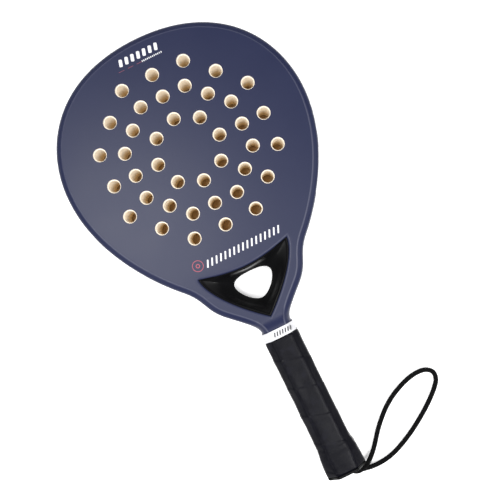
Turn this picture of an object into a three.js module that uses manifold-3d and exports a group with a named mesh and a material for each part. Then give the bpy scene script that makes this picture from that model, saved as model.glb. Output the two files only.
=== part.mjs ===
// Padel racket, lying on its back face.
// Millimetres. +Z points up out of the front face, +Y along the racket to the tip of the head.
// The origin is on the floor, under the middle of the racket's length and width.
import * as THREE from 'three';
import { mergeVertices } from 'three/addons/utils/BufferGeometryUtils.js';
import Module from 'manifold-3d';

const wasm = await Module();
wasm.setup();

// ---- Driving dimensions ------------------------------------------------------

const LENGTH = 455; // tip of the head to the end of the butt cap
const THICKNESS = 38;
const MID = THICKNESS / 2; // height of the middle plane
const GAP = 0.3; // clearance between neighbouring pieces

// Outline of the head and arms, right-hand half, measured from the centre of the hole pattern.
const TIP_Y = 116.6;
const WIDEST = [122.9, 7];
const KNEE = [64.6, -118]; // the head turns into the arm
const WAIST = [38, -157]; // the arm turns in towards the neck
const NECK = [15.2, -186.5]; // the neck becomes the handle
const KNEE_HEADING = -135; // degrees, travelling from the tip to the handle
const WAIST_HEADING = -137;
const NECK_HEADING = -90;

// Everything that is measured from the hole pattern moves up by this to the origin's frame.
const HEAD_Y = LENGTH / 2 - TIP_Y;

const HOLE_R = 6.3;
const HOLE_SIDES = 10;
const INNER_RING_R = 31.8;
const MIDDLE_RING_R = 59.7; // to the corners of an octagon of holes
const OUTER_RING_R = 83;
const OUTER_FLAT_R = 77.6; // to the holes between the outer octagon's corners

const SHEET_THICKNESS = 1.5; // moulded face sheets
const SHEET_INSET = 7; // from the outline to the edge of a face sheet
const SHEET_END = -108.5;
const TUBE_WIDTH = 12;
const BRIDGE_TOP = -105.3;
const BRIDGE_SPLIT = -131; // where the bridge meets the wedge between the arms
const WEDGE_END = -174;

const LEG_HALF_DEPTH = 15; // half the bare handle, front to back
const LEG_END = -322;
const BUTT_END = TIP_Y - LENGTH;
const TAPE_TOP = -186.2;
const TAPE_END = -194.9;
const GRIP_TOP = -195.2;
const GRIP_END = -335.4;

const LINER_WALL = 1.4;
const FUNNEL_STEPS = [0, 0.3, 0.65, 1]; // shares of the way from a face to the middle plane
const CORD_D = 4.5;
const CORD_FLOOR = CORD_D / 2 + 0.05; // centre of a cord that lies on the floor
const SLOT = { x: 4.2, z: 17.9, width: 7.6, height: 12.6 };

// Tube section: [inset from the outline, height as a share of half the thickness].
const TUBE_PROFILE = mirrored([[TUBE_WIDTH, 1], [6.4, 1], [4.4, 0.925], [2.2, 0.77], [0.6, 0.5]], [0, 0]);
const CHANNEL_PROFILE = mirrored([[10.2, 0.8], [6.4, 0.8], [4, 0.62], [2.6, 0.38]], [2.2, 0]);
const FILLER_PROFILE = mirrored([[9.9, 0.78], [6.7, 0.78], [4.4, 0.61], [2.95, 0.37]], [2.5, 0]);

// ---- Helpers -----------------------------------------------------------------

/** A section's front half, its middle point, and the same half mirrored to the back. */
function mirrored(half, middle) {
  const back = half.map(([inset, level]) => [inset, -level]).reverse();
  return [...half, middle, ...back];
}

/** A closed body from triangles that all turn the same way round. */
function bodyFrom(positions, triangles) {
  const geometry = new THREE.BufferGeometry();
  geometry.setAttribute('position', new THREE.Float32BufferAttribute(positions, 3));
  geometry.setIndex(triangles);
  return toSolid(geometry);
}

/** A three.js geometry as a solid, turned to face out. */
function toSolid(geometry) {
  const bare = geometry.clone();
  bare.deleteAttribute('normal');
  bare.deleteAttribute('uv');
  const merged = mergeVertices(bare, 1e-4);
  const triVerts = new Uint32Array(merged.index.array);
  const vertProperties = merged.attributes.position.array;
  const solid = new wasm.Manifold(new wasm.Mesh({ numProp: 3, vertProperties, triVerts }));
  if (solid.volume() >= 0) return solid;
  const reversed = triVerts.slice().reverse();
  return new wasm.Manifold(new wasm.Mesh({ numProp: 3, vertProperties, triVerts: reversed }));
}

/** A solid as flat-shaded three.js geometry. */
function toGeometry(solid) {
  const { vertProperties, triVerts } = solid.getMesh();
  const geometry = new THREE.BufferGeometry();
  geometry.setAttribute('position', new THREE.Float32BufferAttribute(vertProperties, 3));
  geometry.setIndex(new THREE.Uint32BufferAttribute(triVerts, 1));
  const flat = geometry.toNonIndexed();
  flat.computeVertexNormals();
  return flat;
}

/** Joins rings of equal point count. An open run gets a fan over each end; a loop joins up. */
function skin(rings, loop = false) {
  const count = rings[0].length;
  const positions = rings.flat().flatMap((p) => [p.x, p.y, p.z]);
  const triangles = [];
  const bands = loop ? rings.length : rings.length - 1;
  for (let i = 0; i < bands; i += 1) {
    const near = i * count;
    const far = ((i + 1) % rings.length) * count;
    for (let k = 0; k < count; k += 1) {
      const next = (k + 1) % count;
      triangles.push(near + k, near + next, far + next);
      triangles.push(near + k, far + next, far + k);
    }
  }
  if (loop) return bodyFrom(positions, triangles);
  for (const end of [0, rings.length - 1]) {
    const centre = new THREE.Vector3();
    rings[end].forEach((p) => centre.addScaledVector(p, 1 / count));
    const apex = positions.length / 3;
    positions.push(centre.x, centre.y, centre.z);
    for (let k = 0; k < count; k += 1) {
      const a = end * count + k;
      const b = end * count + ((k + 1) % count);
      if (end === 0) triangles.push(apex, b, a);
      else triangles.push(apex, a, b);
    }
  }
  return bodyFrom(positions, triangles);
}

/** The corners of a round or oval outline. */
function oval(x, y, radiusX, radiusY, sides) {
  return Array.from({ length: sides }, (_, i) => {
    const angle = (i / sides) * Math.PI * 2;
    return new THREE.Vector2(x + radiusX * Math.cos(angle), y + radiusY * Math.sin(angle));
  });
}

/** A plate between two heights, from an outline and the centres of the holes through it. */
function plate(outline, bottom, top, holes = []) {
  const shape = new THREE.Shape(outline);
  for (const [x, y] of holes) {
    shape.holes.push(new THREE.Path(oval(x, y, HOLE_R, HOLE_R, HOLE_SIDES)));
  }
  const geometry = new THREE.ExtrudeGeometry(shape, { depth: top - bottom, bevelEnabled: false });
  geometry.translate(0, 0, bottom);
  return toSolid(geometry);
}

function heading(degrees) {
  const angle = THREE.MathUtils.degToRad(degrees);
  return new THREE.Vector2(Math.cos(angle), Math.sin(angle));
}

/** A cubic curve between two points with a heading and a reach at each end. */
function bend([x0, y0], heading0, reach0, [x1, y1], heading1, reach1) {
  const start = new THREE.Vector2(x0, y0);
  const end = new THREE.Vector2(x1, y1);
  const control0 = start.clone().addScaledVector(heading(heading0), reach0);
  const control1 = end.clone().addScaledVector(heading(heading1), -reach1);
  return new THREE.CubicBezierCurve(start, control0, control1, end);
}

// ---- Outline -----------------------------------------------------------------

/** Points and outward normals down the right-hand half, from the tip to the end of the leg. */
function rightStations() {
  const runs = [
    [bend([0, TIP_Y], 0, 85, WIDEST, -90, 55), 11],
    [bend(WIDEST, -90, 62, KNEE, KNEE_HEADING, 20), 11],
    [bend(KNEE, KNEE_HEADING, 22, WAIST, WAIST_HEADING, 21.5), 7],
    [bend(WAIST, WAIST_HEADING, 23, NECK, NECK_HEADING, 9), 7],
  ];
  const stations = [];
  for (const [curve, steps] of runs) {
    for (let i = 0; i < steps; i += 1) {
      const point = curve.getPoint(i / steps);
      const tangent = curve.getTangent(i / steps);
      stations.push({ point, normal: new THREE.Vector2(-tangent.y, tangent.x) });
    }
  }
  for (const y of [NECK[1], -250, LEG_END]) {
    stations.push({ point: new THREE.Vector2(NECK[0], y), normal: new THREE.Vector2(1, 0) });
  }
  return stations.map(({ point, normal }) => ({
    point: new THREE.Vector2(point.x, point.y + HEAD_Y),
    normal,
  }));
}

const RIGHT = rightStations();

/** One station's point, moved in from the outline. */
function insetPoint({ point, normal }, inset) {
  return point.clone().addScaledVector(normal, -inset);
}

/** Half the width between the two arms' inset lines at a height along the racket. */
function halfWidthAt(y, inset) {
  const line = RIGHT.map((station) => insetPoint(station, inset));
  for (let i = line.length - 1; i > 0; i -= 1) {
    const [upper, lower] = [line[i - 1], line[i]];
    if (upper.y >= y && lower.y <= y) {
      const share = (upper.y - y) / (upper.y - lower.y);
      return upper.x + share * (lower.x - upper.x);
    }
  }
  throw new Error(`no outline at ${y}`);
}

/** A right-hand half line of points and its mirror image, as one closed outline. */
function bothSides(right) {
  const left = right.filter((p) => p.x > 1e-6).map((p) => new THREE.Vector2(-p.x, p.y));
  return [...right, ...left.reverse()];
}

/** The part of the outline, moved in, that lies between two heights along the racket. */
function region(inset, top, bottom) {
  const line = RIGHT.map((station) => insetPoint(station, inset));
  const inside = line.filter((p) => p.y < top - 0.5 && p.y > bottom + 0.5);
  const ends = top > line[0].y ? [] : [new THREE.Vector2(halfWidthAt(top, inset), top)];
  return bothSides([...ends, ...inside, new THREE.Vector2(halfWidthAt(bottom, inset), bottom)]);
}

/** Half the racket's thickness, which draws in at the neck to the handle. */
function halfThickness(y) {
  const share = THREE.MathUtils.smoothstep(-y, -HEAD_Y - WEDGE_END, -HEAD_Y - NECK[1]);
  return THREE.MathUtils.lerp(MID, LEG_HALF_DEPTH, share);
}

// ---- Frame tube --------------------------------------------------------------

/** Sweeps a section round the hairpin, from one leg's end over the tip to the other's. */
function hairpin(profile, beyond = 0) {
  const left = RIGHT.slice(1).map(({ point, normal }) => ({
    point: new THREE.Vector2(-point.x, point.y),
    normal: new THREE.Vector2(-normal.x, normal.y),
  }));
  const path = [...left.reverse(), ...RIGHT];
  const rings = path.map((station, i) => {
    const isEnd = i === 0 || i === path.length - 1;
    return profile.map(([inset, level]) => {
      const p = insetPoint(station, inset);
      const y = isEnd ? p.y - beyond : p.y;
      return new THREE.Vector3(p.x, y, MID + level * halfThickness(station.point.y));
    });
  });
  return skin(rings);
}

const at = (y) => y + HEAD_Y;

/** The recess that a face sheet lies in, at the front or the back. */
function sheetPocket(front) {
  const outline = region(SHEET_INSET - GAP, LENGTH, at(SHEET_END) - GAP);
  const depth = SHEET_THICKNESS + GAP;
  return front ? plate(outline, THICKNESS - depth, THICKNESS + 1) : plate(outline, -1, depth);
}

function frameTube() {
  const hollow = hairpin(CHANNEL_PROFILE, 1);
  const tube = hairpin(TUBE_PROFILE).subtract(hollow);
  return tube.subtract(sheetPocket(true)).subtract(sheetPocket(false));
}

// ---- Core and face sheets ------------------------------------------------------

/** Centres of the forty holes: a ring of eight inside two octagons of sixteen. */
function holeCentres() {
  const centres = [];
  for (let i = 0; i < 8; i += 1) {
    const onAxis = i * 45;
    const between = onAxis + 22.5;
    const middleFlat = MIDDLE_RING_R * Math.cos(Math.PI / 8);
    centres.push([INNER_RING_R, onAxis], [MIDDLE_RING_R, between], [middleFlat, onAxis]);
    centres.push([OUTER_RING_R, between], [OUTER_FLAT_R, onAxis]);
  }
  return centres.map(([radius, degrees]) => {
    const p = heading(degrees).multiplyScalar(radius);
    return [p.x, p.y + HEAD_Y];
  });
}

function foamCore() {
  const outline = region(TUBE_WIDTH + GAP, LENGTH, at(BRIDGE_TOP) + GAP);
  const skinned = SHEET_THICKNESS + GAP;
  return plate(outline, skinned, THICKNESS - skinned, holeCentres());
}

function faceSheet(front) {
  const outline = region(SHEET_INSET, LENGTH, at(SHEET_END));
  const bottom = front ? THICKNESS - SHEET_THICKNESS : 0;
  return plate(outline, bottom, bottom + SHEET_THICKNESS, holeCentres());
}

// ---- Throat --------------------------------------------------------------------

/** A ring round the throat from its right-hand half: a top edge and a side edge. */
function throatRing(topEdge, sideEdge) {
  const right = [...topEdge.getPoints(6).slice(0, -1), ...sideEdge.getPoints(8)];
  return bothSides(right).map((p) => new THREE.Vector2(p.x, p.y + HEAD_Y));
}

const WING_TIP = [45.6, -113.2];
const STAR = throatRing(
  bend([0, -120.5], 0, 16, WING_TIP, 15.6, 14),
  bend(WING_TIP, -94, 14.8, [0, -172.5], -140.6, 32.4),
);
const OPENING_CORNER = [18.6, -131.6];
const OPENING = throatRing(
  bend([0, -126.4], 0, 8, OPENING_CORNER, -60, 5),
  bend(OPENING_CORNER, -59, 7.5, [0, -154.4], 180, 9),
);

/** Moves each point of a ring out along its own normal, a little further at sharp corners. */
function grown(ring, distance) {
  return ring.map((p, i) => {
    const before = ring[(i + ring.length - 1) % ring.length];
    const after = ring[(i + 1) % ring.length];
    const along0 = p.clone().sub(before).normalize();
    const along1 = after.clone().sub(p).normalize();
    const normal0 = new THREE.Vector2(-along0.y, along0.x);
    const normal = normal0.clone().add(new THREE.Vector2(-along1.y, along1.x)).normalize();
    const reach = Math.min(1 / Math.max(normal.dot(normal0), 0.1), 2);
    return p.clone().addScaledVector(normal, distance * reach);
  });
}

/** The funnel's ring at a share of the way from the face (0) to the middle plane (1). */
function funnelRing(share, grow, z) {
  const ring = STAR.map((p, i) => p.clone().lerp(OPENING[i], share ** 0.8));
  return grown(ring, grow).map((p) => new THREE.Vector3(p.x, p.y, z));
}

/** The funnel's rings at the front, from the face to the middle plane, or at the back, from there on. */
function funnel(front, grow) {
  const rings = FUNNEL_STEPS.map((share) => {
    const z = THREE.MathUtils.lerp(THICKNESS, MID + GAP / 2, share);
    return funnelRing(share, grow, front ? z : THICKNESS - z);
  });
  return front ? rings : rings.reverse();
}

/** One moulded half of the lining, at the front or at the back. */
function throatLiner(front) {
  return skin([...funnel(front, LINER_WALL), ...funnel(front, 0).reverse()], true);
}

/** The bridge and the wedge as one block between the arms, with room for both linings. */
function throatBlock() {
  const outline = region(TUBE_WIDTH + GAP, at(BRIDGE_TOP), at(WEDGE_END));
  const block = plate(outline, 0, THICKNESS);
  const grow = LINER_WALL + GAP;
  const mouth = [THICKNESS + 1, -1].map((z) => funnelRing(0, grow, z));
  const cut = skin([mouth[0], ...funnel(true, grow), ...funnel(false, grow), mouth[1]]);
  return block.subtract(cut).subtract(sheetPocket(true)).subtract(sheetPocket(false));
}

/** The part of a solid between two lines across the racket. */
function slice(solid, y0, y1) {
  const box = new THREE.BoxGeometry(LENGTH, y1 - y0, LENGTH);
  box.translate(0, (y0 + y1) / 2, 0);
  return solid.intersect(toSolid(box));
}

// ---- Handle --------------------------------------------------------------------

/** An octagon across the handle, [half width, half depth, corner cut], at a height along it. */
function octagon(y, [width, depth, corner]) {
  const quarter = [[width - corner, depth], [width, depth - corner]];
  const corners = [
    ...quarter,
    ...quarter.map(([x, z]) => [x, -z]).reverse(),
    ...quarter.map(([x, z]) => [-x, -z]),
    ...quarter.map(([x, z]) => [-x, z]).reverse(),
  ];
  return corners.map(([x, z]) => new THREE.Vector3(x, at(y), MID + z));
}

function octagons(rows) {
  return rows.map(([y, ...size]) => octagon(y, size));
}

/** A sleeve from its outer and inner rows of [y, half width, half depth, corner cut]. */
function sleeve(outer, inner) {
  return skin([...octagons(outer), ...octagons(inner).reverse()], true);
}

/** The foam strip that fills the space between the two legs. */
function handleCore() {
  const top = at(WEDGE_END) - GAP;
  const heights = [top, top - 4, top - 8, at(NECK[1]), at(LEG_END)];
  const rings = heights.map((y) => {
    const x = halfWidthAt(y, TUBE_WIDTH + GAP);
    const depth = halfThickness(y) - GAP;
    const corners = [[x, depth], [x, -depth], [-x, -depth], [-x, depth]];
    return corners.map(([px, pz]) => new THREE.Vector3(px, y, MID + pz));
  });
  return skin(rings);
}

function buttCap() {
  const outer = skin(octagons([
    [-308.6, 16.2, 15.9, 6.2],
    [-327, 17.7, 16.9, 6.6],
    [GRIP_END - GAP, 17.9, 16.9, 6.6],
    [GRIP_END - GAP - 0.1, 19.7, 18.7, 7.2],
    [BUTT_END + 1, 19.5, 18.5, 7.2],
    [BUTT_END, 18.4, 17.4, 7],
  ]));
  const pocket = skin(octagons([
    [-300, 15.5, 15.3, 5.5],
    [-323, 15.5, 15.3, 5.5],
    [BUTT_END + 3.4, 14.6, 14.4, 5.5],
  ]));
  const opening = new THREE.Shape(oval(0, 0, SLOT.width / 2, SLOT.height / 2, 16));
  const slot = new THREE.ExtrudeGeometry(opening, { depth: 20, bevelEnabled: false });
  slot.rotateX(Math.PI / 2);
  slot.translate(SLOT.x, at(BUTT_END) + 10, SLOT.z);
  return outer.subtract(pocket).subtract(toSolid(slot));
}

function baseGrip() {
  const outer = [
    [GRIP_TOP, 17, 16.8, 7],
    [-307, 17.1, 16.8, 7],
    [-311, 17.7, 17.2, 7.1],
    [-327, 19.6, 18.5, 7.2],
    [GRIP_END, 19.8, 18.7, 7.2],
  ];
  const inner = [
    [GRIP_TOP, 15.5, 15.3, 5.5],
    [-304, 15.5, 15.3, 5.5],
    [-308.2, 16.6, 16.3, 6.2],
    [-327, 18.1, 17.3, 6.6],
    [GRIP_END, 18.3, 17.3, 6.6],
  ];
  return sleeve(outer, inner);
}

function collarTape() {
  const size = [16.4, 16.2, 6.4];
  const bore = [15.5, 15.3, 5.6];
  return sleeve([[TAPE_TOP, ...size], [TAPE_END, ...size]], [[TAPE_TOP, ...bore], [TAPE_END, ...bore]]);
}

// ---- Wrist cord ----------------------------------------------------------------

/** Centre line of the loop: out of the slot, down to the floor, round, and back in below. */
const CORD_ROUTE = [
  [3.4, -334.4, 20.9], [3.8, -339, 20.7], [5.6, -343, 19.2], [9.8, -346.2, 16], [16.5, -347, 11],
  [24, -344.2, 6], [31, -338.6, 3.2], [36.6, -332.4, CORD_FLOOR], [41.6, -326, CORD_FLOOR],
  [47.4, -319.4, CORD_FLOOR], [54.4, -312.4, CORD_FLOOR], [62.4, -305.6, CORD_FLOOR],
  [71.6, -299.6, CORD_FLOOR], [82, -294.6, CORD_FLOOR], [92.6, -291, CORD_FLOOR],
  [103.4, -289.4, CORD_FLOOR], [112.4, -290.8, CORD_FLOOR], [118, -296, CORD_FLOOR],
  [117.4, -303.4, CORD_FLOOR], [113, -309.4, CORD_FLOOR], [106.6, -315.6, CORD_FLOOR],
  [98, -322.6, CORD_FLOOR], [86.6, -330.6, CORD_FLOOR], [74.4, -338.2, CORD_FLOOR],
  [61.6, -344.8, CORD_FLOOR], [48.4, -350.2, CORD_FLOOR], [36.6, -352.6, 2.6], [26, -352.4, 4.2],
  [16.8, -350, 7.4], [10, -346.8, 11.2], [6, -343, 14.2], [4.4, -339, 15.1], [4, -334.4, 15.2],
];

function wristCord() {
  const points = CORD_ROUTE.map(([x, y, z]) => new THREE.Vector3(x, at(y), z));
  const route = new THREE.CatmullRomCurve3(points, false, 'centripetal');
  const section = new THREE.Shape(oval(0, 0, CORD_D / 2, CORD_D / 2, 8));
  return toSolid(new THREE.ExtrudeGeometry(section, { steps: 64, extrudePath: route }));
}

/** The overhand knot inside the butt cap that holds the cord's two ends. */
function cordKnot() {
  const knot = new THREE.TorusKnotGeometry(3.5, 1.5, 40, 6, 2, 3);
  knot.rotateX(Math.PI / 2);
  knot.translate(3.8, at(LEG_END) - 5.6, 18);
  return toSolid(knot);
}

// ---- Assembly ------------------------------------------------------------------

const racket = new THREE.Group();

function finish(color, roughness) {
  return new THREE.MeshStandardMaterial({ color, roughness, metalness: 0 });
}

function add(name, solid, material) {
  const mesh = new THREE.Mesh(toGeometry(solid), material);
  mesh.name = name;
  racket.add(mesh);
}

const NAVY = 0x404264;
const FOAM = 0xd2bd92;
const BLACK = 0x17171a;
const CHARCOAL = 0x26262b;

add('frame_tube', frameTube(), finish(NAVY, 0.5));
add('frame_foam', hairpin(FILLER_PROFILE), finish(FOAM, 0.9));
add('foam_core', foamCore(), finish(FOAM, 0.9));
add('front_face', faceSheet(true), finish(NAVY, 0.5));
add('back_face', faceSheet(false), finish(NAVY, 0.5));

const block = throatBlock();
add('throat_bridge', slice(block, at(BRIDGE_SPLIT) + GAP / 2, at(0)), finish(NAVY, 0.5));
add('throat_wedge', slice(block, at(BUTT_END), at(BRIDGE_SPLIT) - GAP / 2), finish(NAVY, 0.5));
add('throat_liner_front', throatLiner(true), finish(BLACK, 0.35));
add('throat_liner_back', throatLiner(false), finish(BLACK, 0.35));

add('handle_core', handleCore(), finish(FOAM, 0.9));
add('butt_cap', buttCap(), finish(BLACK, 0.5));
add('base_grip', baseGrip(), finish(CHARCOAL, 0.7));
add('collar_tape', collarTape(), finish(0xf2f2f4, 0.4));
add('wrist_cord', wristCord(), finish(0x101012, 0.8));
add('cord_knot', cordKnot(), finish(0x101012, 0.8));

export default racket;
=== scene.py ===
# %% [markdown]
# # A padel racket
#
# A padel racket is a moulded sandwich. A hairpin of hollow fibre tube runs round the head,
# down both arms and into the handle, a slab of foam fills the head, and a laminate sheet
# closes each face. Forty holes are drilled through the sandwich after it leaves the mould.
#
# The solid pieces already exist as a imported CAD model, which gives every place and size.
# This script makes the surfaces that are seen: lacquer, cut foam, moulded lining, wrap,
# tape and braided cord. It works in millimetres and turns them into metres once, at the end
# of each piece.

import math

import bmesh
import bpy
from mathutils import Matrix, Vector, noise
from mathutils.geometry import delaunay_2d_cdt, interpolate_bezier


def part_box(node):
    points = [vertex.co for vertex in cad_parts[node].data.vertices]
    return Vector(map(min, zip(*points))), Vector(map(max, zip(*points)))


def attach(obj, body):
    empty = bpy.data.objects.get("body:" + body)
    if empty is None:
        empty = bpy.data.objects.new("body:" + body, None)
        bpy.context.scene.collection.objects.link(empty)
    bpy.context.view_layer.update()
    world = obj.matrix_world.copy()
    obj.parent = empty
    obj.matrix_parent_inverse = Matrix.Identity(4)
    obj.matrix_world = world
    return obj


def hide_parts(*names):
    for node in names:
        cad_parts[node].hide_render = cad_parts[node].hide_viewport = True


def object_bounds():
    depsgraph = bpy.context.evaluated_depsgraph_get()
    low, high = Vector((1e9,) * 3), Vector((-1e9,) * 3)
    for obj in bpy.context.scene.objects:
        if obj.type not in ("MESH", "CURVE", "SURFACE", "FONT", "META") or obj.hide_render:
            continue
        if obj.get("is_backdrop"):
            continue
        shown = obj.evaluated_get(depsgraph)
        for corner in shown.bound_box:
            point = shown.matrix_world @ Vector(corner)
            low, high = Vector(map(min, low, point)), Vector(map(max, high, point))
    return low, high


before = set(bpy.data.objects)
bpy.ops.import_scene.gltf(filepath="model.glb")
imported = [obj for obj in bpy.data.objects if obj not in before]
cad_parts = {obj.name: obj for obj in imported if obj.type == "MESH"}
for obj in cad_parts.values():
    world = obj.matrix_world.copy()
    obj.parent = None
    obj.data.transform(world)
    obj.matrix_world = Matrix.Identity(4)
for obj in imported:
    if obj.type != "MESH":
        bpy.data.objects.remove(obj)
cad_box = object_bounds()
MM = 0.001
TAU = 2 * math.pi
SCENE = bpy.context.scene
print("CAD nodes:", len(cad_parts))

# %% [markdown]
# The tube's box gives the thickness and the tip of the head. The racket's own drawing
# measures from the centre of the hole pattern, which lies a fixed way below the tip, so
# `HEAD_Y` moves a drawn height into the frame.

# %% Driving sizes, from the frame
TIP_Y = 116.6
TUBE_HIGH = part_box("frame_tube")[1] / MM
THICKNESS = TUBE_HIGH.z
MID = THICKNESS / 2
HEAD_Y = TUBE_HIGH.y - TIP_Y
BUTT_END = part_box("butt_cap")[0].y / MM - HEAD_Y
print(f"thickness {THICKNESS:.1f} mm, hole pattern's centre at y {HEAD_Y:.1f} mm")

# %% [markdown]
# ## Camera
#
# The camera hangs straight above the racket, 600 mm over its front face, and is turned about
# its own line of sight, so the racket leans in the picture. The small shift moves the
# picture without tilting the camera.

# %% Camera
EYE_HEIGHT = 600
EYE_X = 22.39
EYE_Y = -117.21
LEAN = 26.2
LENS = 46.43
FILM_WIDTH = 36

camera_data = bpy.data.cameras.new("camera")
camera_data.sensor_width = FILM_WIDTH
camera_data.lens = LENS
camera_data.shift_x = -0.032
camera_data.shift_y = 0.004
camera = bpy.data.objects.new("camera", camera_data)
camera.location = (EYE_X * MM, (EYE_Y + HEAD_Y) * MM, (THICKNESS + EYE_HEIGHT) * MM)
camera.rotation_euler = (0, 0, math.radians(-LEAN))
SCENE.collection.objects.link(camera)
SCENE.camera = camera

# %% [markdown]
# ## One way to write node trees
#
# Materials and Geometry Nodes are both trees of nodes. `Graph.node` adds any node: its
# settings first, then the values or links of its sockets. `Wire` wraps an output socket, and
# arithmetic on it adds Math nodes, so a formula in a tree reads like a formula.

# %% Graph and Wire
class Wire:
    """One output socket. Sums with it become Math nodes."""

    def __init__(self, graph, socket):
        self.graph = graph
        self.socket = socket

    def _math(self, operation, *terms):
        return self.graph.node("ShaderNodeMath", {"operation": operation}, dict(enumerate(terms)))

    def __add__(self, other):
        return self._math("ADD", self, other)

    def __sub__(self, other):
        return self._math("SUBTRACT", self, other)

    def __rsub__(self, other):
        return self._math("SUBTRACT", other, self)

    def __mul__(self, other):
        return self._math("MULTIPLY", self, other)

    def __truediv__(self, other):
        return self._math("DIVIDE", self, other)

    def __rtruediv__(self, other):
        return self._math("DIVIDE", other, self)

    __radd__ = __add__
    __rmul__ = __mul__

    def cosine(self):
        return self._math("COSINE", self)

    def sine(self):
        return self._math("SINE", self)

    def size(self):
        return self._math("ABSOLUTE", self)

    def ramp(self, low, high):
        """0 below low, 1 above high and a smooth rise between them."""
        inputs = {"Value": self, "From Min": low, "From Max": high}
        return self.graph.node("ShaderNodeMapRange", {"interpolation_type": "SMOOTHSTEP"}, inputs)

    def output(self, name):
        """Another output of the same node."""
        return Wire(self.graph, self.socket.node.outputs[name])


class Graph:
    """A node tree of either kind."""

    def __init__(self, tree):
        self.tree = tree

    def node(self, kind, settings=None, inputs=None, output=0):
        made = self.tree.nodes.new(kind)
        for name, value in (settings or {}).items():
            setattr(made, name, value)
        for key, value in (inputs or {}).items():
            self.feed(made.inputs[key], value)
        return Wire(self, made.outputs[output])

    def feed(self, socket, value):
        if isinstance(value, Wire):
            self.tree.links.new(value.socket, socket)
        else:
            socket.default_value = value

    def vector(self, operation, *terms, **named):
        inputs = {**dict(enumerate(terms)), **named}
        return self.node("ShaderNodeVectorMath", {"operation": operation}, inputs)


# %% [markdown]
# ## The wrist cord
#
# The cord comes first, because its length decides how much floor the model takes. It is a
# limp braided cord, 4.5 mm thick, knotted inside the butt cap. Both ends pass through one
# slot, and the loop between them lies on the floor beside the handle. The route repeats the
# points of the CAD cord: out of the slot, down under its own weight, round the loop and back.

# %% The cord's route
CORD_D = 4.5
FLOOR = CORD_D / 2 + 0.05
CORD_ROUTE = [
    (3.4, -334.4, 20.9), (3.8, -339, 20.7), (5.6, -343, 19.2), (9.8, -346.2, 16), (16.5, -347, 11),
    (24, -344.2, 6), (31, -338.6, 3.2), (36.6, -332.4, FLOOR), (41.6, -326, FLOOR),
    (47.4, -319.4, FLOOR), (54.4, -312.4, FLOOR), (62.4, -305.6, FLOOR),
    (71.6, -299.6, FLOOR), (82, -294.6, FLOOR), (92.6, -291, FLOOR),
    (103.4, -289.4, FLOOR), (112.4, -290.8, FLOOR), (118, -296, FLOOR),
    (117.4, -303.4, FLOOR), (113, -309.4, FLOOR), (106.6, -315.6, FLOOR),
    (98, -322.6, FLOOR), (86.6, -330.6, FLOOR), (74.4, -338.2, FLOOR),
    (61.6, -344.8, FLOOR), (48.4, -350.2, FLOOR), (36.6, -352.6, 2.6), (26, -352.4, 4.2),
    (16.8, -350, 7.4), (10, -346.8, 11.2), (6, -343, 14.2), (4.4, -339, 15.1), (4, -334.4, 15.2),
]
SLOT_X = 4.2
SLOT_Z = 17.9


def smooth_route(points, steps):
    """A centripetal curve through all the points, with so many steps from each to the next."""
    first = points[0] * 2 - points[1]
    last = points[-1] * 2 - points[-2]
    held = [first, *points, last]
    route = []
    for a, b, c, d in zip(held, held[1:], held[2:], held[3:]):
        gap0, gap1, gap2 = (math.sqrt((q - p).length) for p, q in ((a, b), (b, c), (c, d)))
        lean_b = ((b - a) / gap0 - (c - a) / (gap0 + gap1) + (c - b) / gap1) * gap1
        lean_c = ((c - b) / gap1 - (d - b) / (gap1 + gap2) + (d - c) / gap2) * gap1
        span = interpolate_bezier(b, b + lean_b / 3, c - lean_c / 3, c, steps + 1)
        route.extend(span[:-1])
    return [*route, points[-1]]


def length_of(points):
    return sum((q - p).length for p, q in zip(points, points[1:]))


cord_points = [Vector((x, y + HEAD_Y, z)) for x, y, z in CORD_ROUTE]
cord_line = smooth_route(cord_points, 8)
print(f"cord {length_of(cord_line):.0f} mm from end to end")

# %% [markdown]
# ## Geometry Nodes from a script
#
# `new_tree` makes a tree with named inputs. `grow` runs one on a line or a cloud of points
# and keeps the result as a plain mesh, with the modifier gone, because instances and live
# trees don't travel with an exported model.

# %% Helpers for Geometry Nodes
SOCKETS = {float: "NodeSocketFloat", int: "NodeSocketInt", None: "NodeSocketMaterial"}


def new_tree(name, inputs):
    """A tree and its graph: inputs are {name: a number for its kind, or None for a material}."""
    tree = bpy.data.node_groups.new(name, "GeometryNodeTree")
    tree.interface.new_socket("Geometry", in_out="INPUT", socket_type="NodeSocketGeometry")
    tree.interface.new_socket("Geometry", in_out="OUTPUT", socket_type="NodeSocketGeometry")
    for label, kind in inputs.items():
        tree.interface.new_socket(label, in_out="INPUT", socket_type=SOCKETS[kind])
    graph = Graph(tree)
    return graph, graph.node("NodeGroupInput")


def end_tree(graph, shape, material):
    """Every tree ends the same way: real geometry, one material, smooth shading."""
    real = graph.node("GeometryNodeRealizeInstances", inputs={"Geometry": shape})
    smooth = graph.node("GeometryNodeSetShadeSmooth", inputs={"Geometry": real})
    painted = graph.node("GeometryNodeSetMaterial", inputs={"Geometry": smooth, "Material": material})
    out = graph.tree.nodes.new("NodeGroupOutput")
    graph.feed(out.inputs["Geometry"], painted)
    return graph.tree


def join(graph, *shapes):
    """Join Geometry has one socket that takes every shape."""
    made = graph.tree.nodes.new("GeometryNodeJoinGeometry")
    for shape in shapes:
        graph.feed(made.inputs["Geometry"], shape)
    return Wire(graph, made.outputs["Geometry"])


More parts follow.
